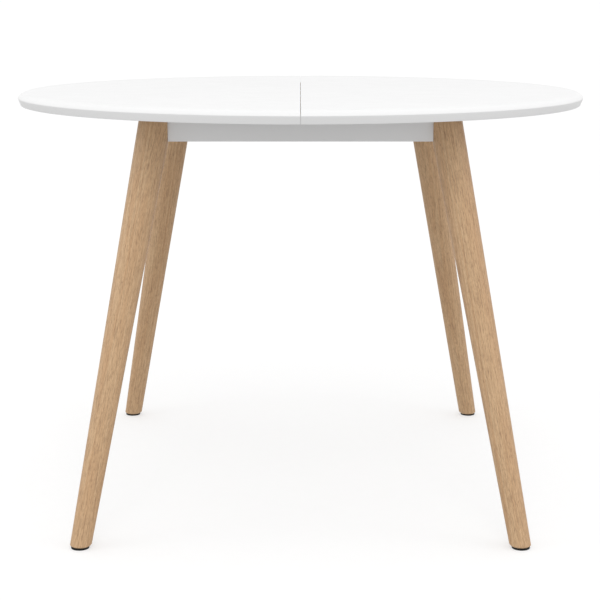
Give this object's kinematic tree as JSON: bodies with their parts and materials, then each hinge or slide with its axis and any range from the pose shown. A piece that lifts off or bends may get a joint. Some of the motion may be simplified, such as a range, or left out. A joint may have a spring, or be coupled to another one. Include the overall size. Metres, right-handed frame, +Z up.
{
  "type": "extending table",
  "caption": "Round white dining table split across the middle, its two half tops sliding apart on geared wooden runners above a white apron and splayed round oak legs.",
  "frame": {"origin": "on the floor, midway between the feet and under the middle of the closed round top", "axes": "+X to the right along the slides, +Y to the back along the seam, +Z up"},
  "size_m": [1.0498, 1.05, 0.75],
  "materials": {
    "white_lacquer": "satin white lacquer on MDF, soft sheen, no grain",
    "oak": "light oiled oak with long fine grain",
    "beech": "planed beech, bare",
    "zinc_steel": "zinc plated, dull bright",
    "black_steel": "black powder coat",
    "nylon": "natural white moulded nylon",
    "black_plastic": "black moulded plastic"
  },
  "bodies": {
    "frame": {"apron_front": "white_lacquer", "apron_back": "white_lacquer", "apron_left": "white_lacquer", "apron_right": "white_lacquer", "leg_front_left": "oak", "leg_front_right": "oak", "leg_back_left": "oak", "leg_back_right": "oak", "foot_pad_front_left": "black_plastic", "foot_pad_front_right": "black_plastic", "foot_pad_back_left": "black_plastic", "foot_pad_back_right": "black_plastic", "corner_bracket_front_left": "black_steel", "corner_bracket_front_right": "black_steel", "corner_bracket_back_left": "black_steel", "corner_bracket_back_right": "black_steel", "bracket_screws": "zinc_steel", "hanger_bolts": "zinc_steel", "hanger_washers": "zinc_steel", "hanger_nuts": "zinc_steel", "top_glides": "nylon", "centre_runner_front": "beech", "centre_runner_back": "beech", "centre_runner_screws": "zinc_steel", "pinion_axle_front": "zinc_steel", "pinion_axle_back": "zinc_steel"},
    "left_top": {"top_half_left": "white_lacquer", "runner_left_front": "beech", "runner_left_back": "beech", "rack_left_front": "zinc_steel", "rack_left_back": "zinc_steel", "runner_screws_left": "zinc_steel", "pin_bushes": "nylon", "keeper_front": "zinc_steel", "keeper_back": "zinc_steel", "keeper_screws": "zinc_steel"},
    "right_top": {"top_half_right": "white_lacquer", "runner_right_front": "beech", "runner_right_back": "beech", "rack_right_front": "zinc_steel", "rack_right_back": "zinc_steel", "runner_screws_right": "zinc_steel", "alignment_pins": "beech", "catch_plate_front": "zinc_steel", "catch_plate_back": "zinc_steel", "catch_screws": "zinc_steel"},
    "pinion_front": {"pinion_front": "nylon"},
    "pinion_back": {"pinion_back": "nylon"},
    "catch_lever_front": {"catch_lever_front": "black_steel"},
    "catch_lever_back": {"catch_lever_back": "black_steel"}
  },
  "joints": [
    {"name": "left_slide", "type": "slide", "parent": "frame", "child": "left_top", "axis": [-1, 0, 0], "range_m": [0, 0.2]},
    {"name": "right_slide", "type": "slide", "parent": "frame", "child": "right_top", "axis": [1, 0, 0], "range_m": [0, 0.2]},
    {"name": "pinion_front_spin", "type": "hinge", "parent": "frame", "child": "pinion_front", "pos_m": [0, -0.15, 0.706], "axis": [0, 0, 1], "range_deg": [-764.5, 0]},
    {"name": "pinion_back_spin", "type": "hinge", "parent": "frame", "child": "pinion_back", "pos_m": [0, 0.15, 0.706], "axis": [0, 0, 1], "range_deg": [-764.5, 0]},
    {"name": "catch_front_turn", "type": "hinge", "parent": "right_top", "child": "catch_lever_front", "pos_m": [0.02, -0.06, 0.7216], "axis": [0, 0, -1], "range_deg": [0, 90]},
    {"name": "catch_back_turn", "type": "hinge", "parent": "right_top", "child": "catch_lever_back", "pos_m": [0.02, 0.06, 0.7216], "axis": [0, 0, 1], "range_deg": [0, 90]}
  ],
  "couplings": [
    {"joint": "right_slide", "follows": "left_slide", "ratio": 1},
    {"joint": "pinion_front_spin", "follows": "left_slide", "rad_per_m": -66.667},
    {"joint": "pinion_back_spin", "follows": "left_slide", "rad_per_m": -66.667}
  ]
}
